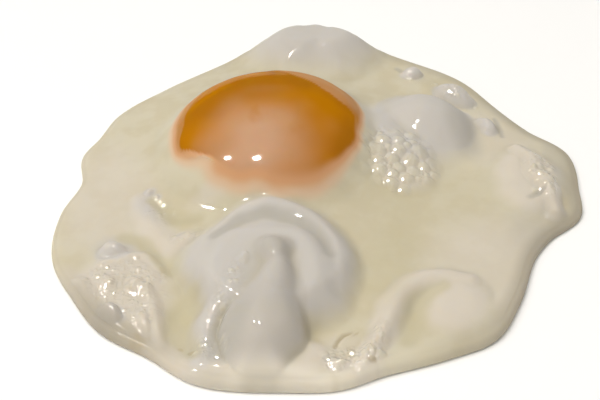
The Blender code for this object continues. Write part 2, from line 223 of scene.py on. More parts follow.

# %% [markdown]
# A ridge is a rounded fold along a smooth line, and a groove is a soft furrow along one. Each point of
# either line has its own height, or depth, and its own half width, so that a fold swells and thins out. The
# finger is the largest ridge: a long lobe that lies over the front dome. Puffs are small swells that sit on
# top of the lobes and ridges.
#
# Some places have only a tint: the whiter parts of the sheet, its olive veins, painted shade on the feet and
# flanks of the domes and along the edge, where the right edge also has its real grey-brown mottling, and the
# brown specks along the edge. The warm places along the front edge are partly painted light. They are ovals.

# %% The ridges, puffs and grooves of the white, and its tinted places
# name, tint, steepness, blend, points of (x, y, height above the table, half width)
RIDGES = (
    ("finger", "grey", 0.44, 1.0, (
        (-9.4, -29.4, 12.0, 4.6), (-9.0, -33.4, 12.2, 5.2), (-9.6, -38.6, 12.3, 6.6),
        (-10.8, -43.6, 12.2, 8.2), (-11.4, -47.8, 11.4, 8.8), (-11.6, -50.0, 9.2, 8.3),
    )),
    ("hook", "warm", 1.1, 1.8, (
        (8.1, -54.6, 4.0, 3.8), (9.6, -51.3, 4.6, 4.4), (11.6, -46.6, 4.9, 4.8), (13.7, -41.0, 5.0, 4.9),
        (16.2, -35.8, 5.0, 4.7), (19.6, -32.4, 5.0, 4.3), (24.4, -31.0, 4.8, 4.1), (30.0, -31.6, 4.4, 3.8),
    )),
    ("right crest", "warm", 0.8, 1.4, (
        (45.0, 12.0, 4.6, 2.8), (47.8, 7.0, 5.8, 3.8), (46.8, 3.2, 5.2, 3.6), (48.8, -0.6, 6.0, 4.0),
        (50.2, -5.0, 5.6, 3.4), (51.0, -10.0, 4.6, 3.0),
    )),
    ("yolk-side fold", "warm", 1.3, 1.8, (
        (-38.6, -6.8, 3.5, 4.6), (-36.8, -12.0, 3.9, 6.0), (-34.6, -17.0, 3.9, 6.0),
        (-31.0, -20.8, 3.9, 5.0), (-27.4, -19.2, 4.2, 3.0),
    )),
    ("finger web", "cool", 1.3, 1.8, (
        (-15.4, -30.4, 10.0, 2.8), (-18.0, -35.4, 9.0, 3.8), (-20.4, -40.6, 7.2, 4.6),
        (-22.0, -46.4, 5.4, 5.2), (-22.8, -52.4, 4.0, 4.6),
    )),
    ("left string", "warm", 1.1, 1.4, (
        (-35.6, -35.0, 5.0, 2.8), (-33.6, -39.6, 4.5, 3.4),
        (-32.2, -43.6, 4.0, 3.4), (-31.4, -48.0, 3.4, 2.8),
    )),
    ("left brow", "warm", 1.1, 1.6, (
        (-44.6, -27.6, 3.8, 2.8), (-40.4, -25.4, 4.2, 3.2),
        (-36.6, -24.8, 4.2, 3.4), (-33.0, -27.6, 3.8, 3.0),
    )),
)
# name, tint, x, y, rise, width of its shoulder, width of its foot, reaches
PUFFS = (
    ("finger knob", "grey", -9.2, -29.0, 0.9, 2.0, 0.4, (4.3, 4.1, 3.8, 4.0, 4.4, 4.5, 4.2, 4.2)),
    ("finger joint", "grey", -8.8, -37.8, 0.7, 2.6, 0.5, (4.8, 4.7, 4.8, 4.8, 5.2, 5.6, 5.2, 4.8)),
    ("finger pad", "grey", -10.2, -48.6, 0.5, 3.0, 0.4, (6.0, 6.0, 6.4, 6.2, 6.4, 6.4, 6.0, 6.0)),
)
# Grooves tinted shade get painted shade along them.
# name, tint, points of (x, y, depth, half width)
GROOVES = (
    ("front dome groove", "shade", (
        (-22.4, -22.6, 0.2, 1.5), (-17.0, -18.4, 0.6, 1.8), (-10.6, -17.0, 0.75, 1.9),
        (-4.8, -18.8, 0.7, 1.9), (0.0, -23.2, 0.5, 2.0), (2.2, -28.4, 0.2, 2.0),
    )),
    ("hook groove", "olive", (
        (24.6, -34.4, 0.1, 1.8), (20.8, -36.4, 0.3, 2.4), (18.9, -39.4, 0.4, 2.8), (18.0, -43.6, 0.3, 2.8),
        (17.4, -48.0, 0.2, 2.4),
    )),
    ("yolk-side hollow", "olive", (
        (-36.0, -7.8, 0.2, 1.6), (-32.6, -10.8, 0.7, 2.3),
        (-29.4, -13.2, 0.8, 2.4), (-26.6, -13.8, 0.5, 2.0),
    )),
    ("left olive valley", "olive", (
        (-26.6, -36.4, 0.3, 2.4), (-27.6, -41.6, 0.9, 3.2),
        (-27.2, -47.2, 0.9, 3.6), (-24.6, -51.4, 0.6, 2.4),
    )),
    ("hump shadow", "olive", (
        (-41.6, -17.6, 0.2, 1.6), (-37.6, -19.4, 0.4, 2.0),
        (-34.4, -24.4, 0.5, 1.9), (-30.8, -28.4, 0.5, 2.2),
    )),
    ("hair crease", "brown", (
        (2.5, -49.8, 0.5, 0.40), (2.9, -47.6, 0.6, 0.42), (4.0, -46.1, 0.6, 0.42), (6.2, -45.5, 0.2, 0.35),
    )),
    ("right crease", "shade", (
        (45.4, -5.9, 0.1, 0.9), (47.0, -5.0, 0.35, 1.1), (48.6, -4.5, 0.1, 0.8),
    )),
    ("front pit", "brown", ((9.3, -54.2, 0.3, 0.7), (10.1, -54.1, 0.3, 0.7))),
    ("plate edge", "none", ((34.2, -32.6, 0.05, 0.8), (35.0, -35.0, 0.2, 0.9), (34.4, -38.0, 0.05, 0.8))),
    ("back notch", "shade", ((19.4, 44.4, 0.2, 0.7), (20.4, 43.2, 0.35, 0.6))),
    ("pip crease", "shade", ((40.6, 24.4, 0.2, 0.6), (41.8, 21.0, 0.35, 0.7), (42.2, 17.8, 0.1, 0.6))),
)
# tint, how strong, x, y, half length, half width, turn
TINTED = (
    ("warm", 0.65, -46.0, -6.0, 13.0, 24.0, 10), ("warm", 0.9, -26.0, -53.0, 26.0, 10.0, -14),
    ("warm", 0.7, 36.0, -26.0, 16.0, 20.0, -20), ("warm", 0.6, 40.0, 16.0, 10.0, 14.0, 40),
    ("olive", 0.8, 15.0, -24.0, 7.0, 17.0, -14), ("olive", 0.4, 24.0, -6.0, 20.0, 12.0, 0),
    ("warm", 0.5, 4.0, -50.0, 9.0, 5.0, 10), ("shade", 1.0, -18.4, -49.6, 4.6, 8.0, -16),
    ("cool", 0.7, -37.0, -9.4, 3.4, 5.6, 30), ("shade", 0.7, -9.2, -29.4, 4.4, 4.0, 0),
    ("shade", 0.5, -14.6, -33.0, 1.6, 5.0, -16), ("shade", 0.9, 33.2, 17.0, 4.6, 9.0, 10),
    ("warm", 0.5, 14.0, 22.0, 5.0, 7.0, 0), ("cool", 0.7, 0.0, 50.0, 18.0, 10.0, 0),
    ("shade", 0.2, -6.0, 49.0, 9.0, 8.0, 0), ("brown", 0.7, -25.3, -51.2, 1.1, 0.8, 0),
    ("brown", 0.6, -27.9, -49.9, 0.8, 0.7, 20), ("brown", 0.5, -36.0, -47.9, 2.0, 1.0, -30),
    ("brown", 0.6, 2.4, -58.4, 1.6, 0.8, 10), ("brown", 0.35, -46.0, -43.8, 8.0, 2.0, -42),
    ("brown", 0.3, 54.0, -4.0, 1.6, 5.0, 0), ("shade", 0.7, 53.6, 5.0, 2.6, 13.0, 8),
    ("warm", 0.7, -23.0, -8.6, 6.0, 3.0, 12), ("warm", 0.9, -51.0, -33.0, 5.0, 8.0, 20),
    ("cool", 0.8, -42.4, -20.8, 5.4, 4.4, 20), ("shade", 0.9, -46.6, -43.6, 9.0, 2.6, -42),
    ("shade", 0.6, 46.0, -14.0, 9.0, 7.0, 50),
)
print("ridges, puffs, grooves, tinted places:", len(RIDGES), len(PUFFS), len(GROOVES), len(TINTED))

# %% [markdown]
# Each form has to say how far inside it a place lies. For an outline that is its reach at the place's
# bearing, less the distance from its middle. For a line it is the distance to the nearest stretch of a
# smooth curve through its points, as a share of the half width there. A cross-section gives the relief.


# %% Measure places against those forms
def inside_outline(x, y, cx, cy, reaches):
    """How many millimetres each place lies inside an outline of even reaches, and how far out as a share."""
    step = 360 / len(reaches)
    bearing = np.degrees(np.arctan2(y - cy, x - cx))
    reach = closed_curve([(step * index, value) for index, value in enumerate(reaches)], bearing)
    away = np.hypot(x - cx, y - cy)
    return reach - away, away / reach


def smooth_line(points, steps=5):
    """Rows along a smooth open curve through the given rows of numbers."""
    rows = np.array([points[0], *points, points[-1]], float)
    made = []
    for a, b, c, d in zip(rows, rows[1:], rows[2:], rows[3:]):
        for t in np.linspace(0, 1, steps, endpoint=False):
            bend = (c - a) * t + (2 * a - 5 * b + 4 * c - d) * t**2 + (3 * b - a - 3 * c + d) * t**3
            made.append(b + bend / 2)
    return [*made, rows[-1]]


def along_line(x, y, points, profile, steepness):
    """The relief along a smooth line, and how near each place is to it, by a profile over the half width."""
    relief = np.zeros(np.shape(x))
    near = np.zeros(np.shape(x))
    line = smooth_line(points)
    for (ax, ay, a_height, a_width), (bx, by, b_height, b_width) in zip(line, line[1:]):
        length2 = (bx - ax) ** 2 + (by - ay) ** 2
        t = np.clip(((x - ax) * (bx - ax) + (y - ay) * (by - ay)) / length2, 0.0, 1.0)
        away = np.hypot(x - ax - t * (bx - ax), y - ay - t * (by - ay)) / (a_width + t * (b_width - a_width))
        shape = profile(away, steepness)
        relief = np.maximum(relief, (a_height + t * (b_height - a_height)) * shape)
        near = np.maximum(near, shape)
    return relief, near


def bulge(out, steepness):
    """The cross-section of a lobe or a ridge, from 1 at its middle to 0 at its line."""
    return np.clip(1 - out**2, 0.0, 1.0) ** steepness


def furrow(out, steepness):
    """The cross-section of a groove, which has no sharp line."""
    return np.exp(-steepness * out**2)


print("the finger's line runs over", len(smooth_line(RIDGES[0][-1])), "rows")

# %% [markdown]
# The yolk leans, so its widest line runs from low on the left to high on the right. The white climbs to just
# under that line. From there a film goes on in an even slope, so that no gap shows, and then lies over the
# skin. It reaches furthest at the back right, as a thin veil, and hardly past the line at the back left. At
# the front it is thick enough to swallow the yolk's foot.


# %% The yolk's place, and the white against it
def yolk_share(x, y):
    """How far out each point is in the yolk's widest line, as a share."""
    return oval(x, y, YOLK_CENTRE[0], YOLK_CENTRE[1], YOLK_HALF[0], YOLK_HALF[1], YOLK_TURN)


def yolk_level(x):
    """The height of the yolk's widest line, which rises to the right with its lean."""
    return YOLK_CENTRE[2] + (x - YOLK_CENTRE[0]) * math.tan(math.radians(YOLK_LEAN))


def yolk_reach(x, y):
    """The distance from the yolk's middle, and that of its widest line at the same bearing."""
    away = np.hypot(x - YOLK_CENTRE[0], y - YOLK_CENTRE[1])
    return away, away / np.maximum(yolk_share(x, y), 1e-6)


def yolk_underside(x, y):
    """The height of the yolk's lower half over each point."""
    share = np.clip(yolk_share(x, y), 0.0, 1.0)
    return np.maximum(yolk_level(x) - YOLK_HALF[2] * np.sqrt(1 - share**2), YOLK_BOTTOM)


FILM_TURNS_DOWN = 0.94
FILM_RISE = 0.17
FILM_BELOW = 0.05
FILM_LATEST_START = 0.90
HAZE_MIDDLE = (-12.8, -0.4)
HAZE_HALF = (12.6, 14.0)
# bearing from the yolk's middle, share of the widest line where the film starts, softness of that edge,
# how thick the veil is there, then where it starts to whiten and where it is full, beside the widest line
FILM = (
    (3, 0.906, 0.4, 0.10, -0.6, 1.8), (15, 0.748, 0.3, 0.17, 0.0, 2.0), (37, 0.644, 0.3, 0.17, 0.2, 2.2),
    (62, 0.67, 0.3, 0.17, 0.2, 2.2), (78, 0.78, 0.3, 0.16, 0.0, 2.0), (92, 0.90, 0.4, 0.08, -0.2, 1.2),
    (110, 0.95, 0.5, 0.0, 0.0, 0.9), (130, 0.94, 0.4, 0.02, -0.2, 1.0), (144, 0.862, 0.4, 0.14, -1.6, 1.6),
    (162, 0.855, 0.4, 0.14, -1.6, 1.8), (185, 0.867, 0.4, 0.14, -1.6, 1.8), (203, 0.95, 0.5, 0.18, -0.8, 2.0),
    (213, 0.90, 0.8, 0.30, -1.6, 1.8), (227, 0.86, 0.8, 0.60, -2.2, 1.4), (240, 0.87, 1.6, 0.30, -2.2, 2.8),
    (256, 0.88, 2.5, 0.26, -2.6, 3.0), (267, 0.88, 3.0, 0.22, -2.6, 3.0), (279, 0.90, 3.0, 0.15, -2.4, 4.0),
    (291, 0.92, 3.0, 0.10, -2.0, 4.8), (306, 0.95, 2.5, 0.06, -2.0, 5.4), (321, 0.97, 2.0, 0.06, -1.2, 3.6),
    (338, 0.97, 1.0, 0.10, -0.8, 2.2), (352, 0.95, 0.8, 0.15, -0.8, 1.8),
)


def film_at(x, y):
    """The distance from the yolk's middle, that of its widest line, and the film's numbers at the bearing."""
    away, reach = yolk_reach(x, y)
    bearing = np.degrees(np.arctan2(y - YOLK_CENTRE[1], x - YOLK_CENTRE[0]))
    start, *others = (closed_curve([(row[0], row[k]) for row in FILM], bearing) for k in range(1, 6))
    wander = 0.3 * noise(x, y, 4.0, 31)
    return away + wander, reach, start, *others


def skin_height(x, y):
    """The height of the yolk's upper half over each place."""
    share = np.clip(yolk_share(x, y), 0.0, 1.0)
    return yolk_level(x) + YOLK_HALF[2] * np.sqrt(1 - share**2)


def film_height(x, y):
    """The film's height: a hair above the skin, and an even slope on down from where that turns steep."""
    away, reach = yolk_reach(x, y)
    share = np.minimum(away / reach, FILM_TURNS_DOWN)
    skin = yolk_level(x) + YOLK_HALF[2] * np.sqrt(1 - share**2)
    steep = YOLK_HALF[2] * FILM_TURNS_DOWN / (reach * math.sqrt(1 - FILM_TURNS_DOWN**2))
    _, _, start, soft, *_ = film_at(x, y)
    soft = soft + 2 * ease(start, 0.86, 0.92)
    begun = ease(away - np.minimum(start, FILM_LATEST_START) * reach, -0.5 * soft, soft)
    thick = FILM_RISE * begun - FILM_BELOW
    return skin - steep * np.maximum(away - FILM_TURNS_DOWN * reach, 0.0) + thick


def veil(x, y):
    """How thick the white is over or beside the yolk: 0 on bare skin, 1 where no orange shows through."""
    away, reach, start, soft, there, low, high = film_at(x, y)
    begun = ease(away - start * reach, -0.5 * soft, 0.5 * soft)
    return there * begun + (1 - there) * ease(away - reach, low, high)


def haze(x, y):
    """How strongly a thin set film hazes the yolk's middle."""
    return ease(oval(x, y, *HAZE_MIDDLE, *HAZE_HALF, 0) + 0.16 * noise(x, y, 6.0, 32), 1.40, 0.15)


def sheet_height(x, y):
    """The sheet alone: flat albumen, thinner at the edge, climbing to the yolk."""
    bearing = np.degrees(np.arctan2(y, x))
    edge = closed_curve(EDGE, bearing)
    inward = np.maximum(closed_curve(OUTLINE, bearing) - np.hypot(x, y), 0.0)
    fade = np.clip(1 - inward / SHEET_FADE, 0.0, 1.0)
    z = SHEET + (edge - SHEET) * fade**2
    away, reach = yolk_reach(x, y)
    climb = yolk_level(x) - COLLAR_BELOW - SHEET
    return z + climb * np.exp(-((np.maximum(away - reach, 0.0) / COLLAR_REACH) ** 1.3))


print("the yolk's top is", round(float(skin_height(*YOLK_CENTRE[:2])), 1), "mm above the board")

# %% [markdown]
# The height itself: the sheet, thinned towards the edge, with the film and the collar that hold the yolk;
# then the swells, lobes and ridges, and last the grooves. A ceiling that rises from the edge
# keeps everything inside the rim. The places are bent by noise before the forms are measured, so that no
# outline looks drawn.

# %% The height and tints of the white
RIM_SLOPE = 1.5
RIM_HEADROOM = 0.3
CEILING_BLEND = 1.2
FILM_BLEND = 1.2
SOCKET_GAP = 0.02


def bent(x, y):
    """The places moved a little by slow noise."""
    x_bent = x + 0.7 * noise(x, y, 9.0, 11) + 0.25 * noise(x, y, 3.4, 17)
    y_bent = y + 0.7 * noise(x, y, 9.0, 12) + 0.25 * noise(x, y, 3.4, 18)
    return x_bent, y_bent


def white_relief(x, y):
    """The white's height over each place, with all its relief, and how much of each tint it has there."""
    bearing = np.degrees(np.arctan2(y, x))
    edge = closed_curve(EDGE, bearing)
    inward = np.maximum(closed_curve(OUTLINE, bearing) - np.hypot(x, y), 0.0)
    tints = {tint: np.zeros(np.shape(x)) for tint in ("cool", "warm", "grey", "olive", "shade", "brown")}
    bx, by = bent(x, y)
    z = sheet_height(x, y)
    for _, tint, cx, cy, rise, shoulder, foot, reaches in SWELLS:
        inside, _ = inside_outline(bx, by, cx, cy, reaches)
        z = z + rise * ease(inside, -foot, shoulder)
        tints[tint] = np.maximum(tints[tint], ease(inside, -foot, 0.6 * shoulder))
    for _, tint, cx, cy, height, steepness, blend, reaches in LOBES:
        inside, out = inside_outline(bx, by, cx, cy, reaches)
        z = smooth_max(z, height * bulge(out, steepness), blend)
        tints[tint] = np.maximum(tints[tint], ease(inside, -0.3, 0.9))
    for _, tint, steepness, blend, points in RIDGES:
        relief, near = along_line(bx, by, points, bulge, steepness)
        z = smooth_max(z, relief, blend)
        tints[tint] = np.maximum(tints[tint], ease(near, 0.0, 0.8))
    for _, tint, cx, cy, rise, shoulder, foot, reaches in PUFFS:
        inside, _ = inside_outline(bx, by, cx, cy, reaches)
        z = z + rise * ease(inside, -foot, shoulder)
    z = smooth_max(z, film_height(x, y), FILM_BLEND)
    for _, tint, points in GROOVES:
        relief, near = along_line(bx, by, points, furrow, 1.0)
        z = z - relief
        if tint in tints:
            tints[tint] = np.maximum(tints[tint], ease(near, 0.1, 0.9))
    away, yolk_edge = yolk_reach(x, y)
    calm = ease(away - yolk_edge, -0.5, 4.0)
    z = z + calm * (0.12 * noise(x, y, 8.0, 13) + 0.03 * noise(x, y, 2.6, 14))
    for tint, strength, cx, cy, half_long, half_wide, turn in TINTED:
        spread = ease(oval(bx, by, cx, cy, half_long, half_wide, turn), 1.2, 0.4)
        tints[tint] = np.maximum(tints[tint], strength * spread)
    ceiling = edge + RIM_HEADROOM + RIM_SLOPE * np.maximum(inward - 0.5 * edge, 0.0)
    z = -smooth_max(-z, -ceiling, CEILING_BLEND)
    sunk = ease(skin_height(x, y) - z, 0.035, 0.5) * (away < yolk_edge)
    return z + sunk * (np.minimum(yolk_underside(x, y) - SOCKET_GAP, z) - z), tints


dome_z, _ = white_relief(*np.array([LOBES[0][2:4]]).T)
print("the right dome is", round(float(dome_z[0]), 1), "mm high")

# %% [markdown]
# Steam left bubbles in patches: a foam below the right dome, more in the left field, along the front edge
# and on the right crest, and a few on two small lobes at the back. Each patch is filled by drawing places at
# random, largest bubble first, and keeping those that have room. A bubble is a low cap, and where caps meet
# they leave the web that shows in foam. The skin between them is crumpled, and every small cap mirrors the
# lamps somewhere, so it all sparkles.

# %% Bubbles and crumples of the foam
# name, x, y, half length, half width, turn, how many bubbles, smallest and largest radius, crumple height,
# how much it sparkles
PATCHES = (
    ("below the right dome", 17.6, 5.0, 10.4, 11.0, 0, 230, 0.30, 2.2, 0.05, 0.8),
    ("on the back lobe", 31.4, 31.4, 2.6, 2.2, 0, 6, 0.4, 0.55, 0.0, 0.5),
    ("on the back bubble", 23.0, 40.6, 1.8, 1.6, 0, 4, 0.4, 0.55, 0.0, 0.5),
    ("left field", -40.6, -35.6, 12.4, 12.4, 0, 110, 0.35, 0.8, 0.08, 0.8),
    ("front edge", 6.6, -53.6, 8.0, 4.4, 3, 60, 0.35, 1.2, 0.06, 1.0),
    ("right crest", 49.2, 1.4, 4.6, 12.0, 8, 60, 0.35, 1.1, 0.03, 0.8),
    ("back right edge", 31.4, 33.0, 13.6, 3.8, -46, 20, 0.3, 0.8, 0.04, 0.2),
    ("hook", 10.6, -48.4, 3.4, 5.6, -18, 16, 0.35, 0.8, 0.03, 0.9),
    ("beside the yolk", -35.4, -9.6, 5.0, 7.0, 26, 16, 0.3, 0.8, 0.03, 0.7),
    ("fold end", -28.0, -18.6, 4.6, 2.6, 20, 6, 0.3, 0.7, 0.06, 1.0),
    ("finger web", -18.4, -39.0, 3.0, 11.0, -16, 46, 0.3, 0.8, 0.04, 0.8),
    ("low left", -22.0, -52.0, 6.4, 3.4, -18, 24, 0.3, 0.9, 0.08, 0.8),
)
CAP_HEIGHT = 0.44
PATCH_MARGIN = 1.8
FILLED_SHARE = 0.86
LEAST_SPACING = 0.72
TRIES = 12


def bubbles_in(patch, rng):
    """The bubbles of one patch, largest first, as (x, y, radius), none far over another."""
    _, cx, cy, half_long, half_wide, turn, count, smallest, largest, *_ = patch
    c = math.cos(math.radians(turn))
    s = math.sin(math.radians(turn))
    kept = []
    for index in range(count):
        radius = smallest + (largest - smallest) * ((count - index) / count) ** 4
        for _ in range(TRIES):
            out = FILLED_SHARE * math.sqrt(rng.uniform())
            bearing = rng.uniform(0, 2 * math.pi)
            along = out * half_long * math.cos(bearing)
            across = out * half_wide * math.sin(bearing)
            x = cx + along * c - across * s
            y = cy + along * s + across * c
            if all(math.hypot(x - kx, y - ky) > LEAST_SPACING * (radius + kr) for kx, ky, kr in kept):
                kept.append((x, y, radius))
                break
    return kept


def foam(x, y):
    """The extra height of all patches' foam, how thin the bubbles' skins are, and how much it sparkles."""
    crest = 1 - 2 * np.abs(noise(x, y, 1.5, 15)) + 0.6 * (1 - 2 * np.abs(noise(x, y, 0.8, 16)))
    rise = np.zeros(np.shape(x))
    thin = np.zeros(np.shape(x))
    sparkle = np.zeros(np.shape(x))
    for patch, bubbles in zip(PATCHES, patch_bubbles):
        *_, crumple, glitter = patch
        share = patch_share(x, y, patch)
        near = np.flatnonzero(share < 1)
        fade = ease(share[near] + 0.15 * noise(x[near], y[near], 2.4, 33), 0.98, 0.55)
        local = crumple * fade * (crest[near] - 0.3)
        local_thin = np.zeros(len(near))
        for bx, by, radius in bubbles:
            cap = np.clip(1 - ((x[near] - bx) ** 2 + (y[near] - by) ** 2) / radius**2, 0.0, 1.0)
            height = CAP_HEIGHT * radius * (1 - 0.1 * radius)
            local = np.where(cap > 0, smooth_max(local, height * cap, 0.06), local)
            local_thin = np.maximum(local_thin, cap * min(radius / 1.2, 1.0))
        rise[near] += local * fade
        thin[near] = np.maximum(thin[near], local_thin * fade)
        sparkle[near] = np.maximum(sparkle[near], glitter * fade)
    return rise, thin, sparkle


def patch_reaches(patch):
    """How far a patch reaches at 120 bearings from its middle: its oval, held inside the outline."""
    _, cx, cy, half_long, half_wide, turn, *_ = patch
    bearing = np.radians(np.arange(0, 360, 3))
    along = np.cos(bearing - math.radians(turn)) / half_long
    across = np.sin(bearing - math.radians(turn)) / half_wide
    reach = 1 / np.hypot(along, across)
    for _ in range(40):
        x = cx + reach * np.cos(bearing)
        y = cy + reach * np.sin(bearing)
        line = closed_curve(OUTLINE, np.degrees(np.arctan2(y, x))) - PATCH_MARGIN
        reach = np.where(np.hypot(x, y) > line, 0.98 * reach, reach)
    return list(zip(range(0, 360, 3), reach.tolist()))


def patch_share(x, y, patch):
    """How far out each place is in a patch, as a share of its reach."""
    _, cx, cy, *_ = patch
    bearing = np.degrees(np.arctan2(y - cy, x - cx))
    return np.hypot(x - cx, y - cy) / closed_curve(patch_reaches(patch), bearing)


bubble_draw = np.random.default_rng(20)
patch_bubbles = [bubbles_in(patch, bubble_draw) for patch in PATCHES]
print("bubbles in each patch:", [len(bubbles) for bubbles in patch_bubbles])

# %% [markdown]
# The white's mesh starts as a square grid squeezed into the outline, so that its cells stay nearly square
# and even, which a fan from the middle wouldn't do. Cells of 0.6 mm are fine enough for the lobes, and the
# foam patches have theirs cut into nine. The grid is cut while it is flat and then raised.
#
# Masks, one number for each vertex, tell the finish what the albumen is like there: its tints, how deep it
# lies below its surroundings, how near the edge it is, and how thinly it veils the yolk. The finish then
# needs no painting by hand. The depth of creases and valleys becomes painted shade. The rim gets painted
# shade at the right and the lower left, there with some of its real browning, and painted light along the
# front.

# %% The flat grid of the white
WHITE_CELLS = 196
RIM_STEPS = 7
RIM_TOP_INSET = 0.45
RIM_FOOT_INSET = 0.22
RIM_WIDEST = 0.42
# bearing, how much painted shade the rim has there, with some real browning, or how much painted light if
# below 0
RIM_LIGHT_AND_SHADE = (
    (0, 1.0), (40, 0.7), (90, 0.5), (150, 0.1), (190, 0.0), (206, 0.1), (220, 0.9), (230, 0.9), (244, 0.0),
    (262, -0.8), (285, -0.2), (306, 0.6), (335, 0.9),
)


def squeezed(a, b):
    """Places of a square from -1 to 1 moved into the white's outline."""
    u = a * np.sqrt(1 - b**2 / 2)
    v = b * np.sqrt(1 - a**2 / 2)
    bearing = np.arctan2(v, u)
    reach = np.hypot(u, v) * top_reach(bearing)
    return reach * np.cos(bearing), reach * np.sin(bearing)


def top_reach(bearing):
    """How far the white's top reaches before its rim rolls under."""
    degrees = np.degrees(bearing)
    return closed_curve(OUTLINE, degrees) - RIM_TOP_INSET * closed_curve(EDGE, degrees)


def flat_white():
    """The white's mesh, still flat: the grid, finer in the foam, with rings for the rim and a bottom."""
    bm = bmesh.new()
    ring = bm.verts.layers.int.new("ring")
    bmesh.ops.create_grid(bm, x_segments=WHITE_CELLS, y_segments=WHITE_CELLS, size=1.0)
    square = np.array([vert.co[:2] for vert in bm.verts])
    x, y = squeezed(square[:, 0], square[:, 1])
    for vert, place in zip(bm.verts, zip(x.tolist(), y.tolist())):
        vert.co.xy = place
    centres = np.array([face.calc_center_median()[:2] for face in bm.faces])
    in_foam = np.min([patch_share(centres[:, 0], centres[:, 1], patch) for patch in PATCHES], axis=0) < 1
    edges = {edge for face, foamy in zip(bm.faces, in_foam) if foamy for edge in face.edges}
    bmesh.ops.subdivide_edges(bm, edges=list(edges), cuts=2, use_grid_fill=True)
    rim = [edge for edge in bm.edges if edge.is_boundary]
    for step in range(1, RIM_STEPS + 1):
        made = bmesh.ops.extrude_edge_only(bm, edges=rim)["geom"]
        for vert in [item for item in made if isinstance(item, bmesh.types.BMVert)]:
            vert[ring] = step
        rim = [item for item in made if isinstance(item, bmesh.types.BMEdge)]
    bmesh.ops.edgeloop_fill(bm, edges=rim)
    mesh = bpy.data.meshes.new("fried_white")
    bm.to_mesh(mesh)
    bm.free()
    return mesh


white_mesh = flat_white()
flat = np.zeros(3 * len(white_mesh.vertices))
white_mesh.vertices.foreach_get("co", flat)
flat_x, flat_y, _ = flat.reshape(-1, 3).T
rim_step = np.zeros(len(white_mesh.vertices), int)
white_mesh.attributes["ring"].data.foreach_get("value", rim_step)
print("the flat white has", len(flat_x), "vertices, of them", int((rim_step > 0).sum()), "in its rim")

# %% [markdown]
# Creases are darkened in the colour as painted shade, and valleys turn olive, which is painted shade and
# also the tint of thin albumen. To find them, the relief is taken once more on an even grid and blurred:
# where the blurred height is above the true one, the place lies deep. A short blur finds creases, and a long
# one finds valleys.

# %% A wide view of the relief, for the painted shade of creases and valleys
VIEW_CELLS = 240
CREASE_BLUR = 10
CREASE_GAIN = 1.6
VALLEY_BLUR = 110
VALLEY_GAIN = 0.55
line = np.linspace(-1, 1, VIEW_CELLS + 1)
view_x, view_y = squeezed(*np.meshgrid(line, line, indexing="ij"))
view_z, _ = white_relief(view_x, view_y)


def blurred(grid, steps):
    """The grid averaged with its neighbours, a number of times."""
    for _ in range(steps):
        padded = np.pad(grid, 1, mode="edge")
        beside = padded[:-2, 1:-1] + padded[2:, 1:-1] + padded[1:-1, :-2] + padded[1:-1, 2:]
        grid = (grid * 2 + beside) / 6
    return grid


def off_view(grid, x, y):
    """The wide view's values at other places, by undoing the squeeze and mixing the four values around."""
    bearing = np.arctan2(y, x)
    out = np.minimum(np.hypot(x, y) / top_reach(bearing), 1.0)
    u = out * np.cos(bearing)
    v = out * np.sin(bearing)
    places = []
    for p, q in ((u, v), (v, u)):
        wide = 2 + p**2 - q**2
        high = np.sqrt(np.maximum(wide + 2 * math.sqrt(2) * p, 0.0))
        low = np.sqrt(np.maximum(wide - 2 * math.sqrt(2) * p, 0.0))
        places.append(np.clip(((high - low) / 2 + 1) / 2 * VIEW_CELLS, 0, VIEW_CELLS - 1e-6))
    i = places[0].astype(int)
    j = places[1].astype(int)
    p = places[0] - i
    q = places[1] - j
    near = grid[i, j] * (1 - q) + grid[i, j + 1] * q
    far = grid[i + 1, j] * (1 - q) + grid[i + 1, j + 1] * q
    return near * (1 - p) + far * p


crease = np.clip((blurred(view_z, CREASE_BLUR) - view_z) * CREASE_GAIN, 0.0, 1.0)
valley = np.clip((blurred(view_z, VALLEY_BLUR) - view_z) * VALLEY_GAIN, 0.0, 1.0)
print("mean depth of creases and valleys:", round(float(crease.mean()), 3), round(float(valley.mean()), 3))

# %% [markdown]
# Now the flat grid is raised to the relief with its foam, and the rings around it roll down and under to the
# board, as the edge of set albumen does. The widest point of that roll is a little below half its height.


# %% Raise the white and note its masks
def add_piece(name, mesh, places, masks):
    """A smooth-shaded object: the mesh with its places in millimetres, moved to the frame's origin."""
    moved = (places - (MIDDLE_X, MIDDLE_Y, 0.0)) * MM
    mesh.vertices.foreach_set("co", moved.ravel())
    for mask_name, values in masks.items():
        mesh.attributes.new(mask_name, "FLOAT", "POINT").data.foreach_set("value", values.astype(np.float32))
    mesh.polygons.foreach_set("use_smooth", [True] * len(mesh.polygons))
    bm = bmesh.new()
    bm.from_mesh(mesh)
    bmesh.ops.recalc_face_normals(bm, faces=bm.faces)
    bm.to_mesh(mesh)
    bm.free()
    piece = bpy.data.objects.new(name, mesh)
    bpy.context.scene.collection.objects.link(piece)
    triangles = sum(len(polygon.vertices) - 2 for polygon in mesh.polygons)
    print(name, "has", len(mesh.vertices), "vertices and", triangles, "triangles")
    return piece


def rolled(bearing, step, top):
    """The places of the rim's rings, which roll under from the top's border to the board."""
    edge = closed_curve(EDGE, np.degrees(bearing))
    roll = np.radians(90 - 180 * step / RIM_STEPS)
    inset = np.where(roll >= 0, RIM_TOP_INSET, RIM_FOOT_INSET) * (1 - np.cos(roll))
    level = RIM_WIDEST + np.where(roll >= 0, 1 - RIM_WIDEST, RIM_WIDEST) * np.sin(roll)
    out = closed_curve(OUTLINE, np.degrees(bearing)) - inset * edge
    return out * np.cos(bearing), out * np.sin(bearing), level * top


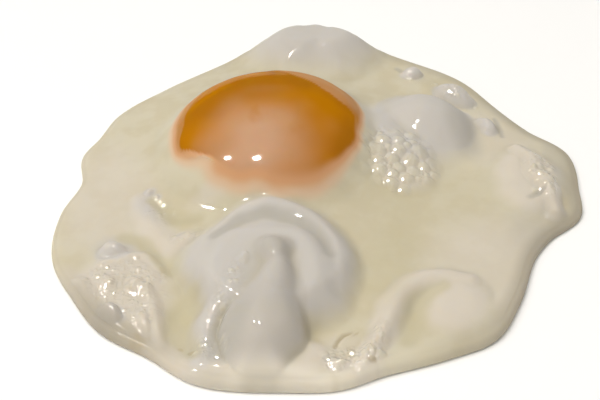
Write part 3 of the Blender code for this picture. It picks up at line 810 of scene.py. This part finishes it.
bare_z, tints = white_relief(flat_x, flat_y)
rise, thin, sparkle = foam(flat_x, flat_y)
bearing = np.arctan2(flat_y, flat_x)
rim_x, rim_y, rim_z = rolled(bearing, rim_step, bare_z)
in_rim = rim_step > 0
white_places = np.where(in_rim, (rim_x, rim_y, rim_z), (flat_x, flat_y, bare_z + rise)).T
near_edge = ease(np.hypot(flat_x, flat_y) / top_reach(bearing), 0.93, 1.0)
# Painted shade on the rim where the table is above 0, with some real browning, and painted light where it is
# below.
shade = near_edge * closed_curve(RIM_LIGHT_AND_SHADE, np.degrees(bearing))
white_masks = {
    **tints,
    "thin": thin,
    "sparkle": sparkle,
    # crease, valley and rim carry painted shade, and pale carries painted light.
    "crease": off_view(crease, flat_x, flat_y),
    "valley": off_view(valley, flat_x, flat_y),
    "rim": np.maximum(shade, 0.0),
    "pale": np.maximum(-shade, 0.0),
    "edge": near_edge,
    "veil": veil(flat_x, flat_y),
    "haze": haze(flat_x, flat_y),
}
white = add_piece("fried_white", white_mesh, white_places, white_masks)
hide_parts("egg_white")
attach(white, "root")

# %% [markdown]
# The yolk is a squashed ball in a skin, so a fine sphere is scaled, turned and leaned like the solid, and
# cut flat at the same height underneath. Slow noise dents it by a tenth of a millimetre, as the real skin
# sags. Its masks are the veil and the haze, as on the white, so the colours meet where the film starts.

# %% Build the yolk and its masks
SAG = 0.10
yolk_bm = bmesh.new()
bmesh.ops.create_uvsphere(yolk_bm, u_segments=144, v_segments=72, radius=1.0)
yolk_size = Matrix.Diagonal([*YOLK_HALF, 1.0])
yolk_turn = Matrix.Rotation(math.radians(YOLK_TURN), 4, "Z")
yolk_lean = Matrix.Rotation(-math.radians(YOLK_LEAN), 4, "Y")
yolk_bm.transform(Matrix.Translation(YOLK_CENTRE) @ yolk_lean @ yolk_turn @ yolk_size)
yolk_points = np.array([vert.co for vert in yolk_bm.verts])
yolk_mesh = bpy.data.meshes.new("fried_yolk")
yolk_bm.to_mesh(yolk_mesh)
yolk_bm.free()
yolk_x = yolk_points[:, 0]
yolk_y = yolk_points[:, 1]
yolk_z = yolk_points[:, 2]
sag = SAG * np.abs(noise(yolk_x, yolk_y, 7.0, 21)) * ease(yolk_z, 9.0, 14.0)
yolk_points[:, 2] = np.maximum(yolk_z - sag, YOLK_BOTTOM)
yolk_masks = {
    "veil": veil(yolk_x, yolk_y),
    "haze": haze(yolk_x, yolk_y),
}
yolk = add_piece("fried_yolk", yolk_mesh, yolk_points, yolk_masks)
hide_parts("yolk")
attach(yolk, "root")

# %% [markdown]
# Finishes are node trees, and node trees read badly as code. Here one small class wraps a socket, so that an
# expression such as 1 - crease * 0.4 adds the Math nodes itself, and one method adds any other node.


# %% A small language for finishes
class Wire:
    """One output socket of a finish, with arithmetic that adds Math nodes."""

    def __init__(self, finish, socket):
        self.finish = finish
        self.socket = socket

    def math(self, operation, first, second):
        return self.finish.node("ShaderNodeMath", {"operation": operation}, {0: first, 1: second})

    def __add__(self, other):
        return self.math("ADD", self, other)

    def __radd__(self, other):
        return self.math("ADD", other, self)

    def __sub__(self, other):
        return self.math("SUBTRACT", self, other)

    def __rsub__(self, other):
        return self.math("SUBTRACT", other, self)

    def __mul__(self, other):
        return self.math("MULTIPLY", self, other)

    def __rmul__(self, other):
        return self.math("MULTIPLY", other, self)


class Finish:
    """A material whose nodes are added by method calls."""

    def __init__(self, name):
        self.material = bpy.data.materials.new(name)
        self.material.use_nodes = True
        self.tree = self.material.node_tree
        self.shader = self.tree.nodes["Principled BSDF"]

    def node(self, kind, settings=None, sockets=None, out=0):
        """Adds a node: its settings first, then the values or links of its sockets. Returns one output."""
        made = self.tree.nodes.new(kind)
        for key, value in (settings or {}).items():
            setattr(made, key, value)
        for key, value in (sockets or {}).items():
            self.feed(made.inputs[key], value)
        return Wire(self, made.outputs[out])

    def feed(self, socket, value):
        if isinstance(value, Wire):
            self.tree.links.new(value.socket, socket)
        else:
            socket.default_value = value

    def mask(self, name):
        return self.node("ShaderNodeAttribute", {"attribute_name": name}, out="Fac")

    def grain(self, size, detail=3.0, stretch=(1.0, 1.0, 1.0)):
        """Noise from 0 to 1 in the object's own space, its size in millimetres."""
        place = self.node("ShaderNodeTexCoord", out="Object")
        place = self.node("ShaderNodeMapping", {}, {"Vector": place, "Scale": stretch})
        sockets = {"Vector": place, "Scale": 1 / (size * MM), "Detail": detail}
        return self.node("ShaderNodeTexNoise", {}, sockets, out="Fac")

    def between(self, value, low, high):
        """The value's rise from low to high as 0 to 1, eased."""
        settings = {"interpolation_type": "SMOOTHSTEP"}
        return self.node("ShaderNodeMapRange", settings, {"Value": value, "From Min": low, "From Max": high})

    def mix(self, share, first, second):
        """Two colours mixed by a share from 0 to 1."""
        first = first if isinstance(first, Wire) else (*first, 1.0)
        second = second if isinstance(second, Wire) else (*second, 1.0)
        settings = {"data_type": "RGBA"}
        return self.node("ShaderNodeMix", settings, {0: share, 6: first, 7: second}, out=2)

    def bump(self, height, strength, distance):
        sockets = {"Height": height, "Strength": strength, "Distance": distance * MM}
        return self.node("ShaderNodeBump", {}, sockets)

    def surface(self, **sockets):
        """Sets the shader's sockets, by names with underscores for spaces."""
        for key, value in sockets.items():
            self.feed(self.shader.inputs[key.replace("_", " ")], value)


# %% [markdown]
# The set white. Thin albumen lets the pan's warm light through and looks cream to olive; blown albumen
# scatters all light and looks a cool greyish white. So the base colour goes from cream to the tint of each
# form. Shade is painted into it in creases, valleys, grooves, on shaded flanks and on the rim, and light is
# painted along the front rim. Light soaks in for a few millimetres, which subsurface scattering does, and a
# wet coat gives the small sharp lights. The coat is thin on the plain white and full on the foam.
#
# Over the yolk's foot the white is a film, so its colour runs through peach and pink to the yolk's orange.

# %% The finish of the white
CREAM = (0.607, 0.555, 0.42)
DEEP_CREAM = (0.57, 0.51, 0.365)
COOL_WHITE = (0.56, 0.53, 0.495)
WARM_WHITE = (0.645, 0.585, 0.505)
FINGER_GREY = (0.49, 0.455, 0.41)
OLIVE = (0.53, 0.475, 0.32)
BROWN = (0.38, 0.29, 0.15)
# Painted shade for creases, painted shade with some real browning for the rim, painted light for the front
# rim, and the grey of the painted shade tint.
CREASE_PAINTED_SHADE = (0.44, 0.40, 0.32)
BROWNING_AND_SHADE_ON_RIM = (0.36, 0.32, 0.25)
PAINTED_LIGHT_ON_RIM = (0.80, 0.74, 0.64)
PAINTED_SHADE_GREY = (0.42, 0.395, 0.345)
THIN_OLIVE = (0.60, 0.56, 0.45)
BARE_ORANGE = (0.455, 0.166, 0.002)
DEEP_ORANGE = (0.39, 0.142, 0.006)
HAZE_PINK = (0.55, 0.32, 0.19)
VEILED_PINK = (0.60, 0.33, 0.17)
VEILED_PEACH = (0.64, 0.47, 0.32)


def veiled(finish, set_colour):
    """From the yolk's skin through pink and peach to the white, as the white thickens."""
    wander = finish.grain(6.0, 2.0, (1.0, 0.6, 1.0))
    bare = finish.mix(finish.between(finish.grain(14.0, 1.0), 0.4, 0.6), BARE_ORANGE, DEEP_ORANGE)
    bare = finish.mix(finish.mask("haze") * finish.between(wander, -0.1, 0.45), bare, HAZE_PINK)
    thick = finish.mask("veil")
    colour = finish.mix(finish.between(thick, 0.0, 0.35), bare, VEILED_PINK)
    colour = finish.mix(finish.between(thick, 0.30, 0.72), colour, VEILED_PEACH)
    return finish.mix(finish.between(thick, 0.65, 1.0), colour, set_colour)


set_white = Finish("set_white_finish")
mottle = set_white.between(set_white.grain(7.0), 0.38, 0.62)
fine = set_white.grain(0.9, 4.0)
glints = set_white.grain(0.9, 1.0)
colour = set_white.mix(mottle, CREAM, DEEP_CREAM)
# warm, cool, grey, olive, brown and thin are the albumen's own tints; shade, crease and rim are painted
# shade, the rim with some real browning; valley is painted shade that is also thin albumen's olive; pale is
# painted light.
for name, most, tint in (
    ("warm", 0.8, WARM_WHITE), ("cool", 0.9, COOL_WHITE), ("grey", 0.8, FINGER_GREY), ("olive", 0.7, OLIVE),
    ("valley", 0.5, OLIVE), ("shade", 0.6, PAINTED_SHADE_GREY), ("rim", 0.8, BROWNING_AND_SHADE_ON_RIM), ("pale", 0.9, PAINTED_LIGHT_ON_RIM),
    ("crease", 0.6, CREASE_PAINTED_SHADE), ("brown", 0.5, BROWN), ("thin", 0.75, THIN_OLIVE),
):
    colour = set_white.mix(set_white.mask(name) * most, colour, tint)
set_white.surface(
    Base_Color=veiled(set_white, colour),
    Roughness=0.36 + fine * 0.08,
    Subsurface_Weight=0.5,
    Subsurface_Scale=0.0018,
    Subsurface_Radius=(1.0, 0.85, 0.6),
    Specular_IOR_Level=0.0,
    Coat_Weight=0.16 - set_white.mask("edge") * 0.13 + set_white.mask("sparkle") * 0.8,
    Coat_Roughness=0.07,
    Coat_IOR=1.5,
    Normal=set_white.bump(fine * 0.2 + glints * set_white.mask("sparkle") * 3.0, 0.6, 0.10),
)
white.data.materials.append(set_white.material)
print("the white's finish has", len(set_white.tree.nodes), "nodes")

# %% [markdown]
# The yolk. Its skin is deep orange where it is bare, at the back and the sides. The film over its middle
# scatters light and turns it a hazy pinkish tan, and at the foot the film thickens to white.

# %% The finish of the yolk
hazed = Finish("hazed_yolk_finish")
hazed.surface(
    Base_Color=veiled(hazed, CREAM),
    Roughness=0.34,
    Subsurface_Weight=0.35,
    Subsurface_Scale=0.0018,
    Subsurface_Radius=(1.0, 0.35, 0.1),
    Specular_IOR_Level=0.0,
    Coat_Weight=0.22,
    Coat_Roughness=0.06,
    Coat_IOR=1.5,
)
yolk.data.materials.append(hazed.material)
print("the yolk's finish has", len(hazed.tree.nodes), "nodes")

# %% [markdown]
# The stage is a plain pale floor. The photo's egg lies under a ceiling with small lamps: each wet dome shows
# two small lights side by side and no window. The rest of the light is soft and comes from above and the
# left, so one wide panel gives it. The panel is kept out of reflections, as a photographer does with a
# polarising filter, because a wet egg would show it as a white patch. A dim, even room fills the shadows.

# %% Floor, lamps and room
FLOOR_HALF = 3.0
SPOT_LIGHT = (1.0, 0.95, 0.88)
SOFT_LIGHT = (1.0, 0.98, 0.95)
floor_mesh = bpy.data.meshes.new("floor")
corner_sides = ((-1, -1), (1, -1), (1, 1), (-1, 1))
floor_corners = [(FLOOR_HALF * across, FLOOR_HALF * deep, 0) for across, deep in corner_sides]
floor_mesh.from_pydata(floor_corners, [], [(0, 1, 2, 3)])
floor = bpy.data.objects.new("floor", floor_mesh)
bpy.context.scene.collection.objects.link(floor)
floor_finish = Finish("floor_finish")
floor_finish.surface(Base_Color=(0.93, 0.93, 0.92, 1.0), Roughness=0.9)
floor_mesh.materials.append(floor_finish.material)


def add_lamp(name, place, size, watts, colour, mirrored=True):
    """A square area lamp that points at the egg. The wet skin shows it only if mirrored."""
    data = bpy.data.lights.new(name, "AREA")
    data.size = size
    data.energy = watts
    data.color = colour
    lamp = bpy.data.objects.new(name, data)
    lamp.location = place
    lamp.rotation_euler = (-Vector(place)).to_track_quat("-Z", "Y").to_euler()
    lamp.visible_glossy = mirrored
    bpy.context.scene.collection.objects.link(lamp)
    return lamp


for name, place in (("left_spot", (-0.49, 0.02, 0.87)), ("right_spot", (-0.16, -0.05, 0.985))):
    spot = add_lamp(name, place, 0.07, 20.0, SPOT_LIGHT)
    spot.visible_diffuse = False

add_lamp("soft_panel", (-0.34, -0.26, 1.1), 1.1, 14.0, SOFT_LIGHT, mirrored=False)

world = bpy.data.worlds.new("room")
world.use_nodes = True
world.node_tree.nodes["Background"].inputs["Color"].default_value = (*SOFT_LIGHT, 1.0)
world.node_tree.nodes["Background"].inputs["Strength"].default_value = 0.34
world.cycles_visibility.glossy = False
bpy.context.scene.world = world

# %% [markdown]
# The camera looks down at forty degrees, the angle at which a round yolk looks as flat as it does in the
# photo. The lens is a short telephoto, and the aim is set so that the egg fills the frame as there.

# %% Camera and view
CAMERA_ELEVATION = math.radians(40)
CAMERA_DISTANCE = 0.313
CAMERA_AIM = Vector((-0.0048, -0.0026, 0.0))
camera_data = bpy.data.cameras.new("camera")
camera_data.lens = 85
camera_data.sensor_width = 36
camera_data.clip_start = 0.01
camera = bpy.data.objects.new("camera", camera_data)
back = Vector((0, -math.cos(CAMERA_ELEVATION), math.sin(CAMERA_ELEVATION)))
camera.location = CAMERA_AIM + back * CAMERA_DISTANCE
camera.rotation_euler = (-back).to_track_quat("-Z", "Y").to_euler()
bpy.context.scene.collection.objects.link(camera)
bpy.context.scene.camera = camera
bpy.context.scene.view_settings.view_transform = "Standard"
print("the camera is at", [round(place, 3) for place in camera.location], "m")
